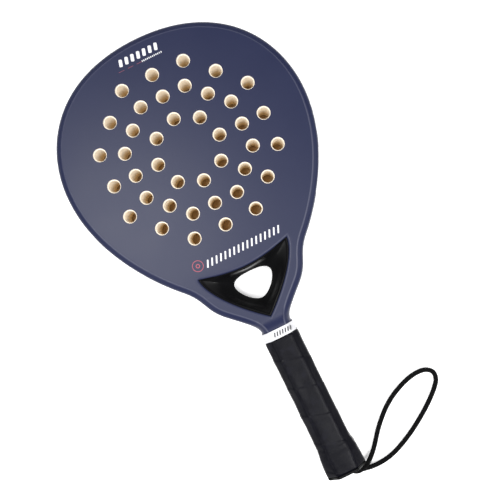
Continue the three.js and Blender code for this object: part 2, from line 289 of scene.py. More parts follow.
def grow(name, tree, points, edges, **values):
    """Runs a tree on points in millimetres and returns the plain mesh object it makes."""
    seed = bpy.data.meshes.new(name + "_seed")
    seed.from_pydata([p * MM for p in points], edges, [])
    holder = bpy.data.objects.new(name + "_seed", seed)
    SCENE.collection.objects.link(holder)
    modifier = holder.modifiers.new("grow", "NODES")
    modifier.node_group = tree
    for item in tree.interface.items_tree:
        if item.in_out == "INPUT" and item.name in values:
            modifier[item.identifier] = values[item.name]
    evaluated = holder.evaluated_get(bpy.context.evaluated_depsgraph_get())
    mesh = bpy.data.meshes.new_from_object(evaluated)
    bpy.data.objects.remove(holder)
    mesh.name = name
    piece = bpy.data.objects.new(name, mesh)
    SCENE.collection.objects.link(piece)
    print(f"{name}: {len(mesh.polygons)} faces")
    return piece


# %% [markdown]
# ## Materials
#
# Each finish starts from one Principled shader. A value that is the same all over is set on
# the shader itself, and only what changes over the surface is wired in. Patterns read Object
# coordinates, which are metres here, so a noise scale of 1000 has cells about 1 mm across.

# %% Helpers for materials
def new_finish(name, **fixed):
    """A material with its fixed values set, its graph and its shader."""
    material = bpy.data.materials.new(name)
    material.use_nodes = True
    shader = material.node_tree.nodes["Principled BSDF"]
    for label, value in fixed.items():
        shader.inputs[label.replace("_", " ")].default_value = value
    return material, Graph(material.node_tree), shader


def place(graph):
    return graph.node("ShaderNodeTexCoord", output="Object")


def grain(graph, scale, detail=3.0, roughness=0.5):
    """Soft noise between 0 and 1, about half on average."""
    inputs = {"Vector": place(graph), "Scale": scale, "Detail": detail, "Roughness": roughness}
    return graph.node("ShaderNodeTexNoise", inputs=inputs)


def blend(graph, factor, first, second):
    """A mix of two colours."""
    return graph.node("ShaderNodeMix", {"data_type": "RGBA"}, {0: factor, 6: first, 7: second}, 2)


def bump(graph, shader, height, depth, strength=1.0):
    """Raises the surface by a height between 0 and 1 times a depth in metres."""
    inputs = {"Height": height, "Distance": depth, "Strength": strength}
    graph.feed(shader.inputs["Normal"], graph.node("ShaderNodeBump", inputs=inputs))


def rgb(red, green, blue):
    return (red, green, blue, 1.0)


# %% [markdown]
# The lacquer is a satin navy sprayed over the laminate. Satin lacquer isn't even: it has a
# fine orange-peel surface that spreads each reflection, and the pigment clouds slightly over
# a few centimetres. The peel is a faint bump, and the clouds vary colour and roughness. Where a
# piece carries a per-vertex amount, a paler navy is painted in: a painted highlight along the
# crest of the bead and round the star's edge.

# %% Navy lacquer
def navy_lacquer():
    navy, graph, shader = new_finish("navy_lacquer", Specular_IOR_Level=0.27)
    clouds = grain(graph, 28.0, 4.0)
    specks = grain(graph, 1500.0, 2.0)
    light = rgb(0.0128, 0.0170, 0.0530)
    dark = rgb(0.0098, 0.0136, 0.0450)
    colour = blend(graph, clouds * 0.7 + specks * 0.3, dark, light)
    # Painted highlight: a paler navy mixed in by a per-vertex amount set on the bead and the star's
    # edge.
    wear_and_painted_highlight = graph.node("ShaderNodeAttribute", {"attribute_name": "wear_and_painted_highlight"}, output="Fac")
    colour = blend(graph, wear_and_painted_highlight, colour, rgb(0.052, 0.056, 0.096))
    graph.feed(shader.inputs["Base Color"], colour)
    graph.feed(shader.inputs["Roughness"], 0.37 + clouds * 0.05 + specks * 0.05)
    bump(graph, shader, grain(graph, 900.0, 3.0, 0.6), 0.00002, 0.5)
    return navy


# %% [markdown]
# The drill cuts foam that was cream when it was cast. Its cells are open at the cut, so the
# wall is pitted. Its colour is painted pale towards the front and golden brown towards the back:
# painted shade, deepening down the hole. A very faint glow is painted light that brightens the
# walls; it stands in for light seeping through the thin cell walls.

# %% Cut foam and the pale rim of a hole
def cut_foam():
    fixed = {"Roughness": 0.85, "Specular_IOR_Level": 0.2, "Emission_Strength": 0.035}
    foam, graph, shader = new_finish("cut_foam", **fixed)
    height = graph.node("ShaderNodeSeparateXYZ", inputs={0: place(graph)}, output="Z")
    painted_light_by_height = (height / MM).ramp(6, 24)
    patches = grain(graph, 420.0, 3.0)
    # Painted shade: golden brown low in the holes, cream towards the front face.
    inner = blend(graph, patches, rgb(0.87, 0.68, 0.42), rgb(0.91, 0.76, 0.51))
    outer = blend(graph, patches, rgb(0.87, 0.77, 0.61), rgb(0.92, 0.83, 0.70))
    graph.feed(shader.inputs["Base Color"], blend(graph, painted_light_by_height, inner, outer))
    # Painted light: the glow is white towards the front face and orange lower down.
    painted_glow = blend(graph, painted_light_by_height, rgb(1.0, 0.7, 0.35), rgb(1.0, 1.0, 1.0))
    graph.feed(shader.inputs["Emission Color"], painted_glow)
    cells = graph.node("ShaderNodeTexVoronoi", inputs={"Vector": place(graph), "Scale": 1100.0})
    bump(graph, shader, cells * 0.7 + grain(graph, 2600.0) * 0.5, 0.00012, 0.8)
    return foam


def cut_rim():
    rim, graph, shader = new_finish("cut_rim", Specular_IOR_Level=0.35)
    dust = grain(graph, 900.0, 4.0)
    colour = blend(graph, dust, rgb(0.44, 0.42, 0.43), rgb(0.54, 0.52, 0.53))
    graph.feed(shader.inputs["Base Color"], colour)
    graph.feed(shader.inputs["Roughness"], 0.5 + dust * 0.2)
    bump(graph, shader, grain(graph, 2400.0), 0.00003, 0.7)
    return rim


# %% [markdown]
# The throat lining, the butt cap, the wrap, the tape and the cord are all dark or white
# plastics, told apart by their gloss and by the scale of their grain. The moulded ones are
# polished just inside the faces, and matt at the lip and in the middle of the thickness.

# %% Plastics, wrap, tape, cord and print
def moulded_black(name, gloss):
    black, graph, shader = new_finish(name, Specular_IOR_Level=0.05, Coat_Roughness=0.3)
    smears = grain(graph, 60.0, 3.0)
    colour = blend(graph, smears, rgb(0.0025, 0.0025, 0.003), rgb(0.005, 0.005, 0.0055))
    graph.feed(shader.inputs["Base Color"], colour)
    height = graph.node("ShaderNodeSeparateXYZ", inputs={0: place(graph)}, output="Z")
    from_middle = (height / MM - MID).size()
    polish = from_middle.ramp(10, 15.5) * (1 - from_middle.ramp(16.8, 17.8) * 0.85)
    graph.feed(shader.inputs["Roughness"], 0.75 - polish * (0.75 - gloss) + smears * 0.08)
    graph.feed(shader.inputs["Coat Weight"], polish * 0.75)
    bump(graph, shader, grain(graph, 1400.0, 2.0), 0.00002, 0.5)
    return black


def grip_wrap():
    wrap, graph, shader = new_finish("grip_wrap", Specular_IOR_Level=0.08)
    rubbed = grain(graph, 120.0, 4.0).ramp(0.5, 0.75)
    leather = graph.node("ShaderNodeTexVoronoi", inputs={"Vector": place(graph), "Scale": 1300.0})
    colour = blend(graph, rubbed, rgb(0.003, 0.003, 0.0055), rgb(0.007, 0.007, 0.0115))
    graph.feed(shader.inputs["Base Color"], colour)
    graph.feed(shader.inputs["Roughness"], 0.3 + rubbed * 0.14 + leather * 0.06)
    bump(graph, shader, leather * 0.6 + grain(graph, 300.0, 4.0) * 0.8, 0.00014, 0.55)
    return wrap


def white_tape():
    tape, graph, shader = new_finish("white_tape", Specular_IOR_Level=0.5)
    fibre = grain(graph, 700.0, 4.0)
    colour = blend(graph, fibre, rgb(0.62, 0.62, 0.65), rgb(0.68, 0.68, 0.70))
    graph.feed(shader.inputs["Base Color"], colour)
    graph.feed(shader.inputs["Roughness"], 0.3 + fibre * 0.15)
    bump(graph, shader, grain(graph, 160.0, 3.0), 0.00012, 0.4)
    return tape


def black_yarn():
    yarn, graph, shader = new_finish("black_yarn", Specular_IOR_Level=0.1)
    fuzz = grain(graph, 3000.0, 3.0)
    colour = blend(graph, fuzz, rgb(0.001, 0.001, 0.0012), rgb(0.005, 0.005, 0.0055))
    graph.feed(shader.inputs["Base Color"], colour)
    graph.feed(shader.inputs["Roughness"], 0.62 + fuzz * 0.2)
    bump(graph, shader, grain(graph, 6000.0, 2.0), 0.00005, 0.8)
    return yarn


def print_ink(name, colour):
    ink, graph, shader = new_finish(name, Specular_IOR_Level=0.5)
    wear_and_painted_highlight = grain(graph, 1800.0, 3.0)
    worn = tuple(0.86 * channel for channel in colour[:3]) + (1.0,)
    graph.feed(shader.inputs["Base Color"], blend(graph, wear_and_painted_highlight, worn, colour))
    graph.feed(shader.inputs["Roughness"], 0.35 + wear_and_painted_highlight * 0.15)
    return ink


NAVY = navy_lacquer()
FOAM = cut_foam()
RIM = cut_rim()
LINER = moulded_black("liner_black", 0.24)
CAP = moulded_black("cap_black", 0.4)
WRAP = grip_wrap()
TAPE = white_tape()
YARN = black_yarn()
WHITE_INK = print_ink("white_ink", rgb(0.74, 0.74, 0.76))
RED_INK = print_ink("red_ink", rgb(0.36, 0.03, 0.065))
DULL_RED_INK = print_ink("dull_red_ink", rgb(0.19, 0.04, 0.07))
GREY_INK = print_ink("grey_ink", rgb(0.03, 0.03, 0.035))

# %% [markdown]
# ## Braiding the cord
#
# A braiding machine sends half its bobbins round one way and half the other, and they pass
# over and under each other in turn. The tree does the same: it copies the route once for
# each bobbin, winds the copies into helices, and lifts and sinks them in step. All strands
# of one hand are up where all strands of the other are down, so one cosine along the cord is
# enough.

# %% The braid tree
BOBBINS = 6
STRAND_R = 0.52
BRAID_R = 1.75
BRAID_LIFT = 0.22
BRAID_PITCH = 9.4
BRAID_STEP = 0.3


def braid_tree():
    numbers = ["Strand Radius", "Braid Radius", "Lift", "Pitch", "Step"]
    inputs = {**dict.fromkeys(numbers, float), "Bobbins": int, "Material": None}
    graph, given = new_tree("braid", inputs)
    route = graph.node("GeometryNodeMeshToCurve", inputs={"Mesh": given})
    fine = {"Curve": route, "Length": given.output("Step")}
    even = graph.node("GeometryNodeResampleCurve", {"mode": "LENGTH"}, fine)
    circle = {"Resolution": 5, "Radius": given.output("Strand Radius")}
    strand_end = graph.node("GeometryNodeCurvePrimitiveCircle", inputs=circle)
    along = graph.node("GeometryNodeSplineParameter", output="Length")
    out = graph.node("GeometryNodeInputNormal")
    across = graph.vector("CROSS_PRODUCT", graph.node("GeometryNodeInputTangent"), out)
    turns = along / given.output("Pitch")
    wave = (turns * given.output("Bobbins") * TAU).cosine() * given.output("Lift")
    hands = []
    for hand in (1, -1):
        copies = graph.node(
            "GeometryNodeDuplicateElements",
            {"domain": "SPLINE"},
            {"Geometry": even, "Amount": given.output("Bobbins")},
        )
        share = copies.output("Duplicate Index") / given.output("Bobbins")
        angle = (turns * hand + share) * TAU
        reach = given.output("Braid Radius") + wave * hand
        part_out = graph.vector("SCALE", out, Scale=angle.cosine() * reach)
        part_across = graph.vector("SCALE", across, Scale=angle.sine() * reach)
        offset = graph.vector("ADD", part_out, part_across)
        wound = graph.node("GeometryNodeSetPosition", inputs={"Geometry": copies, "Offset": offset})
        body = {"Curve": wound, "Profile Curve": strand_end, "Fill Caps": True}
        hands.append(graph.node("GeometryNodeCurveToMesh", inputs=body))
    core_circle = {"Resolution": 8, "Radius": given.output("Braid Radius")}
    core_end = graph.node("GeometryNodeCurvePrimitiveCircle", inputs=core_circle)
    coarse = {"Curve": route, "Length": MM}
    core_line = graph.node("GeometryNodeResampleCurve", {"mode": "LENGTH"}, coarse)
    body = {"Curve": core_line, "Profile Curve": core_end, "Fill Caps": True}
    core = graph.node("GeometryNodeCurveToMesh", inputs=body)
    return end_tree(graph, join(graph, *hands, core), given.output("Material"))


# %% Make the cord
def wrist_cord():
    edges = [(i, i + 1) for i in range(len(cord_line) - 1)]
    values = {
        "Strand Radius": STRAND_R * MM,
        "Braid Radius": BRAID_R * MM,
        "Lift": BRAID_LIFT * MM,
        "Pitch": BRAID_PITCH * MM,
        "Step": BRAID_STEP * MM,
        "Bobbins": BOBBINS,
        "Material": YARN,
    }
    return grow("braided_wrist_cord", braid_tree(), cord_line, edges, **values)


cord = wrist_cord()
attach(cord, "root")
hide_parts("wrist_cord")
round(length_of(cord_line) * MM, 3)
[p * MM for p in cord_line]

# %% [markdown]
# ## Building closed shapes from rings
#
# Nearly every other piece is a stack of rings: a section swept round the outline, a funnel,
# a sleeve. `Shape` collects rings and flats in millimetres, welds what touches, turns all
# faces outward and hands back one closed piece.

# %% The shape builder
WELD = 0.0005


class Shape:
    """Faces of one piece, in millimetres."""

    def __init__(self):
        self.mesh = bmesh.new()
        # A per-vertex amount of paler lacquer: a painted highlight.
        self.wear_and_painted_highlight = self.mesh.verts.layers.float.new("wear_and_painted_highlight")

    def rings(self, rings, closed_along=False, wear_and_painted_highlight=None):
        """Four-sided faces between neighbouring rings of equal count, each ring with its own amounts of
        painted highlight.
        """
        rows = [[self.mesh.verts.new(p) for p in ring] for ring in rings]
        for row, amounts in zip(rows, wear_and_painted_highlight or []):
            for corner, amount in zip(row, amounts):
                corner[self.wear_and_painted_highlight] = amount
        if closed_along:
            rows.append(rows[0])
        for near, far in zip(rows, rows[1:]):
            for k in range(len(near)):
                n = (k + 1) % len(near)
                self.mesh.faces.new((near[k], near[n], far[n], far[k]))

    def end(self, ring):
        """Closes a ring with a fan round its middle."""
        middle = sum(ring, Vector()) / len(ring)
        centre = self.mesh.verts.new(middle)
        rim = [self.mesh.verts.new(p) for p in ring]
        for a, b in zip(rim, [*rim[1:], rim[0]]):
            self.mesh.faces.new((a, b, centre))

    def flat(self, points, triangles):
        corners = [self.mesh.verts.new(p) for p in points]
        for triangle in triangles:
            self.mesh.faces.new([corners[i] for i in triangle])

    def piece(self, name, *materials, sharp=32):
        """Welds, turns outward, shades smooth except over sharp edges, and links the piece."""
        bmesh.ops.remove_doubles(self.mesh, verts=self.mesh.verts, dist=WELD)
        bmesh.ops.dissolve_degenerate(self.mesh, edges=self.mesh.edges, dist=WELD)
        bmesh.ops.recalc_face_normals(self.mesh, faces=self.mesh.faces)
        bmesh.ops.scale(self.mesh, vec=(MM, MM, MM), verts=self.mesh.verts)
        data = bpy.data.meshes.new(name)
        self.mesh.to_mesh(data)
        open_edges = sum(1 for edge in self.mesh.edges if len(edge.link_faces) != 2)
        self.mesh.free()
        data.shade_smooth()
        data.set_sharp_from_angle(angle=math.radians(sharp))
        for material in materials:
            data.materials.append(material)
        made = bpy.data.objects.new(name, data)
        SCENE.collection.objects.link(made)
        print(f"{name}: {len(data.polygons)} faces, {open_edges} open edges")
        return made


def settle(piece, node):
    """The piece stands for a CAD node: it joins the root body, and the node is hidden."""
    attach(piece, "root")
    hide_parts(node)


# %% [markdown]
# ## The outline
#
# The outline is four smooth bends a side and a straight leg. Each bend is a cubic curve
# given by a heading and a reach at both ends, so neighbouring bends join without a corner.
# A station is a point on it with the direction that points outward there.

# %% Bends and stations
WIDEST = (122.9, 7)
KNEE = (64.6, -118)
WAIST = (38, -157)
NECK = (15.2, -186.5)
LEG_END = -322


def heading(degrees):
    angle = math.radians(degrees)
    return Vector((math.cos(angle), math.sin(angle)))


def bend(start, heading0, reach0, end, heading1, reach1, steps):
    """Points and left-hand normals along a cubic curve, without its last point."""
    p0 = Vector(start)
    p3 = Vector(end)
    p1 = p0 + heading(heading0) * reach0
    p2 = p3 - heading(heading1) * reach1
    made = []
    for i in range(steps):
        t = i / steps
        s = 1 - t
        point = p0 * s**3 + p1 * (3 * s * s * t) + p2 * (3 * s * t * t) + p3 * t**3
        slope = (p1 - p0) * s * s + (p2 - p1) * (2 * s * t) + (p3 - p2) * t * t
        made.append((point, Vector((-slope.y, slope.x)).normalized()))
    return made


def right_stations():
    line = bend((0, TIP_Y), 0, 85, WIDEST, -90, 55, 80)
    line += bend(WIDEST, -90, 62, KNEE, -135, 20, 76)
    line += bend(KNEE, -135, 22, WAIST, -137, 21.5, 32)
    line += bend(WAIST, -137, 23, NECK, -90, 9, 30)
    line += [(Vector((NECK[0], y)), Vector((1, 0))) for y in (NECK[1], -200, -260, LEG_END)]
    return [(point + Vector((0, HEAD_Y)), normal) for point, normal in line]


def mirrored(station):
    point, normal = station
    return Vector((-point.x, point.y)), Vector((-normal.x, normal.y))


RIGHT = right_stations()
LEFT = [mirrored(station) for station in RIGHT]
print(f"{len(RIGHT)} stations a side")


def moved_in(station, inset):
    point, normal = station
    return point - normal * inset


def station_near(y, inset):
    """The index of the station whose moved-in point lies nearest to a drawn height."""
    def miss(i):
        return abs(moved_in(RIGHT[i], inset).y - HEAD_Y - y)
    return min(range(len(RIGHT)), key=miss)


# %% [markdown]
# The racket is flat except at the neck, where its two faces draw in to meet the handle.

# %% Half the thickness along the racket
WEDGE_END = -174
LEG_HALF = 15


def smooth_step(share):
    share = min(max(share, 0), 1)
    return share * share * (3 - 2 * share)


def half_at(y):
    """Half the thickness at a frame height y."""
    share = smooth_step((WEDGE_END - (y - HEAD_Y)) / (WEDGE_END - NECK[1]))
    return MID + (LEG_HALF - MID) * share


def lifted(point, level, depth=0):
    """A point of the plan at a share of the half thickness, sunk by a depth towards the middle."""
    side = 1 if level >= 0 else -1
    return Vector((point.x, point.y, MID + half_at(point.y) * level - side * depth))


# %% [markdown]
# ## The frame tube
#
# One section swept round the hairpin. Where the laminate ends the mould leaves a fine bead, a
# tenth of a millimetre high. A paler lacquer painted on its crest is a painted highlight, a pale
# line down the arms and a faint one round the head. Outside it the tube falls away at some
# thirty degrees and rolls into an upright side.
# Inside it the tube steps down by the thickness of the laminate that lies on it.

# %% The tube's section and sweep
SHOULDER = 7.0
SHEET = 1.5
TUBE_WIDTH = 12
BEAD = [  # [way in from the outline, depth below the face]
    (7.0, 0), (6.75, -0.03), (6.45, -0.09), (6.2, -0.12), (5.95, -0.09), (5.65, 0.02), (5.35, 0.2),
]
ROLL = [
    (5.0, 0.42), (4.4, 0.74), (3.8, 1.06), (3.2, 1.4), (2.6, 1.8), (2.0, 2.26), (1.5, 2.75),
    (1.0, 3.45), (0.6, 4.4), (0.3, 5.6), (0.1, 7.5), (0, 10), (0, 13), (0, 16), (0, MID),
]
LEG_SLIMMING = 2.1
SLIM_FROM = -168


def side_depth(depth, y):
    """Depth of the rolled side at a frame height: inside the handle the roll is fuller."""
    slim = smooth_step((SLIM_FROM - (y - HEAD_Y)) / (SLIM_FROM - NECK[1]))
    deep = min(depth * LEG_SLIMMING, MID) if depth > 0 else 0
    return depth + (deep - depth) * slim


def frame_section(y):
    """The whole section at a frame height: [inset, level, depth below the face]."""
    side = [(inset, side_depth(depth, y)) for inset, depth in BEAD + ROLL]
    front = [(TUBE_WIDTH, 1, SHEET), (SHOULDER, 1, SHEET)]
    front += [(inset, 1 - depth / MID, 0) for inset, depth in side]
    back = [(inset, -min(level, 1), depth) for inset, level, depth in front[:-1]]
    return front + back[::-1]


def painted_highlight_at(inset, y):
    """A painted highlight along the crest of the bead, stronger towards the handle."""
    lower = smooth_step((60 - (y - HEAD_Y)) / 110)
    return max(0, 1 - abs(inset - 6.2) / 1.1) * (0.04 + 0.96 * lower)


def frame_tube():
    rings = []
    wear_and_painted_highlight = []
    for station in [*LEFT[:0:-1], *RIGHT]:
        y = station[0].y
        section = frame_section(y)
        # Painted highlight on the bead's crest, on the front and back flats only.
        wear_and_painted_highlight.append([painted_highlight_at(inset, y) if abs(level) > 0.8 else 0 for inset, level, _ in section])
        ring = []
        for inset, level, depth in section:
            p = moved_in(station, inset)
            side = 1 if level >= 0 else -1
            ring.append(Vector((p.x, p.y, MID + half_at(y) * level - side * depth)))
        rings.append(ring)
    shape = Shape()
    shape.rings(rings, wear_and_painted_highlight=wear_and_painted_highlight)
    shape.end(rings[0])
    shape.end(rings[-1])
    return shape.piece("lacquered_frame", NAVY)


settle(frame_tube(), "frame_tube")

# %% [markdown]
# ## Flats with holes
#
# A flat region is filled with triangles between its edge and its holes. A grid of loose
# points inside keeps the triangles well shaped, and lets the flat follow the neck.

# %% Filling a region
WITHIN = 0.9962  # share of a hole's radius inside which a triangle's middle counts as in the hole


def inside(point, loop):
    """Whether a point lies inside a closed loop, by counting crossings."""
    crossings = 0
    for a, b in zip(loop, [*loop[1:], loop[0]]):
        if (a.y > point.y) != (b.y > point.y):
            if point.x < a.x + (point.y - a.y) / (b.y - a.y) * (b.x - a.x):
                crossings += 1
    return crossings % 2 == 1


def circle(centre, radius, sides):
    turn = TAU / sides
    return [centre + Vector((math.cos(i * turn), math.sin(i * turn))) * radius for i in range(sides)]


def fill(loop, holes, spacing):
    """Points and triangles of a region with round holes, given as (centre, ring) pairs."""
    points = [p.copy() for p in loop]
    edges = [(i, (i + 1) % len(loop)) for i in range(len(loop))]
    for _, ring in holes:
        first = len(points)
        points += ring
        edges += [(first + i, first + (i + 1) % len(ring)) for i in range(len(ring))]
    low_x = min(p.x for p in loop)
    low_y = min(p.y for p in loop)
    columns = int((max(p.x for p in loop) - low_x) / spacing)
    rows = int((max(p.y for p in loop) - low_y) / spacing)
    for i in range(1, columns + 1):
        for j in range(1, rows + 1):
            p = Vector((low_x + i * spacing, low_y + j * spacing))
            far = all((p - q).length > spacing * 0.6 for q in loop)
            clear = all((p - c).length > (ring[0] - c).length + spacing * 0.5 for c, ring in holes)
            if far and clear and inside(p, loop):
                points.append(p)
    found, _, faces, *_ = delaunay_2d_cdt(points, edges, [], 1, 1e-6)
    kept = []
    for face in faces:
        middle = sum((found[i] for i in face), Vector((0, 0))) / len(face)
        in_hole = any((middle - c).length < (ring[0] - c).length * WITHIN for c, ring in holes)
        if not in_hole and inside(middle, loop):
            kept.append(face)
    return found, kept


# %% [markdown]
# ## The forty holes
#
# A ring of eight holes sits inside two octagons of sixteen. The drill leaves a pale bevelled
# rim where it cuts laminate and foam together, and a plain wall below.

# %% Hole centres
HOLE_SIDES = 48
RIM_R = 6.5
BORE_R = 5.6
INNER_RING = 31.8
OCTAGON = 59.7
OUTER_BETWEEN = 83
OUTER_ON_AXIS = 77.6


def hole_centres():
    mid_side = OCTAGON * math.cos(math.pi / 8)
    centres = []
    for i in range(8):
        on_axis = i * 45
        between = on_axis + 22.5
        reaches = [(INNER_RING, on_axis), (OCTAGON, between), (mid_side, on_axis)]
        reaches += [(OUTER_BETWEEN, between), (OUTER_ON_AXIS, on_axis)]
        for radius, degrees in reaches:
            centres.append(heading(degrees) * radius + Vector((0, HEAD_Y)))
    return centres


HOLES = hole_centres()
print(f"{len(HOLES)} holes")

# %% [markdown]
# ## The face sheets
#
# Each sheet is a thin plate that ends at the shoulder of the tube, with the forty holes cut
# through it. Its straight end crosses the racket above the throat.

# %% Face sheets
SHEET_END = -108.5
SHEET_STATION = station_near(SHEET_END, SHOULDER)
FLAT_SPACING = 7


def between_sides(first, last, inset):
    """A loop down the right-hand side and up the left between two stations."""
    right = [moved_in(RIGHT[i], inset) for i in range(first, last + 1)]
    left = [moved_in(LEFT[i], inset) for i in range(last, first - 1, -1)]
    return right + (left[:-1] if first == 0 else left)


def plate(name, loop, holes, top, bottom, *materials):
    """A flat plate with round holes, closed all round."""
    points, triangles = fill(loop, holes, FLAT_SPACING)
    shape = Shape()
    for z in (top, bottom):
        shape.flat([Vector((p.x, p.y, z)) for p in points], triangles)
    for ring in [loop, *(ring for _, ring in holes)]:
        shape.rings([[Vector((p.x, p.y, z)) for p in ring] for z in (top, bottom)])
    return shape.piece(name, *materials)


def face_sheet(name, top, bottom):
    loop = between_sides(0, SHEET_STATION, SHOULDER)
    holes = [(c, circle(c, RIM_R, HOLE_SIDES)) for c in HOLES]
    return plate(name, loop, holes, top, bottom, NAVY)


settle(face_sheet("front_laminate", THICKNESS, THICKNESS - SHEET), "front_face")
settle(face_sheet("back_laminate", SHEET, 0), "back_face")

# %% [markdown]
# ## The foam core
#
# The slab of foam fills the tube. Its holes are lofted in many short rows, and each row is
# pushed in and out a little, because a drill tears foam rather than cutting it clean.

# %% Foam core
WALL_ROWS = 14
GLUE = 0.3
CORE_END = -105


def torn(point):
    """How far the foam stands in or out at a point of a hole's wall."""
    coarse = noise.noise(point * 0.45)
    fine = noise.noise(point * 1.3 + Vector((7, 3, 1)))
    return 0.1 * coarse + 0.06 * fine


def hole_wall(centre, top, bottom):
    rows = []
    for row in range(WALL_ROWS + 1):
        z = top + (bottom - top) * row / WALL_ROWS
        ring = []
        for p in circle(centre, BORE_R, HOLE_SIDES):
            spot = Vector((p.x, p.y, z))
            push = 0 if row in (0, WALL_ROWS) else torn(spot)
            ring.append(spot + ((p - centre).normalized() * push).to_3d())
        rows.append(ring)
    return rows


def foam_core():
    top = THICKNESS - SHEET - GLUE
    bottom = SHEET + GLUE
    loop = between_sides(0, station_near(CORE_END, TUBE_WIDTH), TUBE_WIDTH + GLUE)
    holes = [(c, circle(c, BORE_R, HOLE_SIDES)) for c in HOLES]
    points, triangles = fill(loop, holes, FLAT_SPACING)
    shape = Shape()
    for z in (top, bottom):
        shape.flat([Vector((p.x, p.y, z)) for p in points], triangles)
    shape.rings([[Vector((p.x, p.y, z)) for p in loop] for z in (top, bottom)])
    for centre in HOLES:
        shape.rings(hole_wall(centre, top, bottom))
    return shape.piece("drilled_foam_core", FOAM)


settle(foam_core(), "foam_core")

# %% [markdown]
# The pale rims repeat eighty times, so a tree makes them. It sweeps a four-cornered section
# round a circle and puts one ring on each point it is given. The back rims are the front
# ones turned over, with the bevel facing down.

# %% Rims of the holes
RIM_BEVEL = 0.6
RIM_DEPTH = 1.9
RIM_GAP = 0.01
RIM_SINK = 0.03


def rim_tree():
    numbers = ["Outer Radius", "Bore Radius", "Bevel", "Depth", "Facing"]
    inputs = {**dict.fromkeys(numbers, float), "Sides": int, "Material": None}
    graph, given = new_tree("hole_rims", inputs)
    facing = given.output("Facing")
    depth = given.output("Depth")
    wall = given.output("Outer Radius") - given.output("Bore Radius")

    def corner(inward, drop):
        return graph.node("ShaderNodeCombineXYZ", inputs={0: inward, 1: facing * drop})

    corners = {
        "Point 1": corner(0, 0),
        "Point 2": corner(wall, given.output("Bevel")),
        "Point 3": corner(wall, depth),
        "Point 4": corner(0, depth),
    }
    section = graph.node("GeometryNodeCurvePrimitiveQuadrilateral", {"mode": "POINTS"}, corners)
    round_line = {"Resolution": given.output("Sides"), "Radius": given.output("Outer Radius")}
    hoop = graph.node("GeometryNodeCurvePrimitiveCircle", inputs=round_line)
    body = graph.node("GeometryNodeCurveToMesh", inputs={"Curve": hoop, "Profile Curve": section})
    placed = {"Points": given, "Instance": body}
    rims = graph.node("GeometryNodeInstanceOnPoints", inputs=placed)
    return end_tree(graph, rims, given.output("Material"))


def hole_rims(name, tree, z, facing):
    points = [Vector((c.x, c.y, z)) for c in HOLES]
    values = {
        "Outer Radius": (RIM_R - RIM_GAP) * MM,
        "Bore Radius": BORE_R * MM,
        "Bevel": RIM_BEVEL * MM,
        "Depth": RIM_DEPTH * MM,
        "Facing": facing,
        "Sides": HOLE_SIDES,
        "Material": RIM,
    }
    rims = grow(name, tree, points, [], **values)
    rims.data.set_sharp_from_angle(angle=math.radians(30))
    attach(rims, "root")


RIM_TREE = rim_tree()
hole_rims("front_hole_rims", RIM_TREE, THICKNESS - RIM_SINK, 1.0)
hole_rims("back_hole_rims", RIM_TREE, RIM_SINK, -1.0)

# %% [markdown]
# ## The throat
#
# Under the head the two arms leave a three-pointed opening. Two rings of equal count draw
# it: the star, where the lacquer ends, and the small rounded opening at the middle of the
# thickness. Every point of the star has its partner on the opening, and the line between
# two partners is a spoke that the lining follows.

# %% Star, opening and spokes
STAR_TOP = (0, -120.5)
WING_TIP = (45.6, -113.2)
STAR_BOTTOM = (0, -172.5)
OPENING_TOP = (0, -126.4)
OPENING_CORNER = (18.6, -131.6)
OPENING_BOTTOM = (0, -154.4)
TOP_STEPS = 26
SIDE_STEPS = 46


def throat_ring(top_edge, side_edge, bottom):
    """A closed ring from its right-hand half, from the top middle round to the bottom middle."""
    right = [point for point, _ in top_edge + side_edge]
    right.append(Vector(bottom))
    left = [Vector((-p.x, p.y)) for p in right[1:-1]]
    return [p + Vector((0, HEAD_Y)) for p in right + left[::-1]]


STAR = throat_ring(
    bend(STAR_TOP, 0, 16, WING_TIP, 15.6, 14, TOP_STEPS),
    bend(WING_TIP, -94, 14.8, STAR_BOTTOM, -140.6, 32.4, SIDE_STEPS),
    STAR_BOTTOM,
)
OPENING = throat_ring(
    bend(OPENING_TOP, 0, 8, OPENING_CORNER, -60, 5, TOP_STEPS),
    bend(OPENING_CORNER, -59, 7.5, OPENING_BOTTOM, 180, 9, SIDE_STEPS),
    OPENING_BOTTOM,
)
print(f"throat rings of {len(STAR)} points")


def grown(ring, distance):
    """Moves a clockwise ring out along its own normals, further at corners so edges stay parallel."""
    moved = []
    for before, p, after in zip([ring[-1], *ring[:-1]], ring, [*ring[1:], ring[0]]):
        along0 = (p - before).normalized()
        along1 = (after - p).normalized()
        normal0 = Vector((-along0.y, along0.x))
        normal = (normal0 + Vector((-along1.y, along1.x))).normalized()
        reach = min(1 / max(normal.dot(normal0), 0.1), 2)
        moved.append(p + normal * distance * reach)
    return moved


def spoke_ring(share, level_of, grow_by=0):
    """The throat ring at a share of every spoke, at the level that the share has."""
    ring = [a.lerp(b, share) for a, b in zip(STAR, OPENING)]
    return [lifted(p, level_of(share)) for p in grown(ring, grow_by)]


# %% [markdown]
# The lining is a shell moulded in two halves that meet at the middle plane. From the lacquer
# it has a narrow groove, then a rounded lip, and then it falls towards the opening: gently
# at first, in the wings of the star, and ever steeper until it turns upright at the middle.

# %% Throat linings
LINER_WALL = 1.4
LIP = [  # [way in from the star, depth below the face]
    (0.0, 2.0), (0.05, 0.9), (0.3, 0.6), (0.6, 0.42), (0.95, 0.36), (1.3, 0.42), (1.65, 0.62),
    (2.0, 0.95),
]
FALL_STEPS = 26


def fall(share):
    """Level of the lining at a share of the spoke: 1 at the star and 0 at the middle plane."""
    gentle = share**1.35
    roll = 1 - math.sqrt(max(1 - share**5, 0))
    return 1 - (0.86 * gentle + 0.14 * roll)


